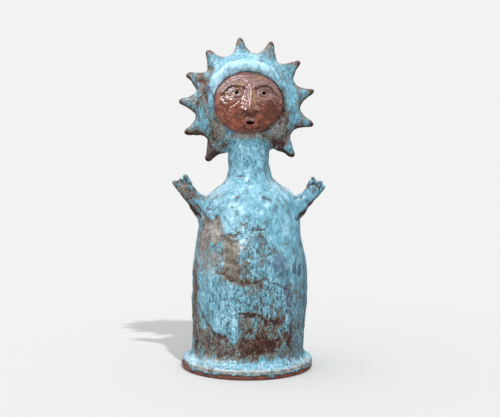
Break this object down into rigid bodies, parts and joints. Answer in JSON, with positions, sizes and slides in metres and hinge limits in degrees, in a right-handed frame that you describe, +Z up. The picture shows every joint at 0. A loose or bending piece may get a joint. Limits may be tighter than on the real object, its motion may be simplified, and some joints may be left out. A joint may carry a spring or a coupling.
{
  "type": "ceramic figure sculpture",
  "caption": "Hand-built glazed ceramic figure: bell-shaped body on a round slab, tall neck, raised arms, and a rayed sun-disc head with a domed brown face.",
  "frame": {"origin": "centre of the slab's flat underside", "axes": "+Z up through the neck, the face looks along -Y, +X is the figure's left-hand side (the viewer's right)"},
  "size_m": [0.175, 0.152, 0.3796],
  "materials": {
    "glazed_clay": "glossy turquoise glaze broken by brown over red-brown clay, with a bare brown-glazed face and an unglazed foot"
  },
  "bodies": {
    "root": {"sun_figure": "glazed_clay"}
  },
  "joints": []
}
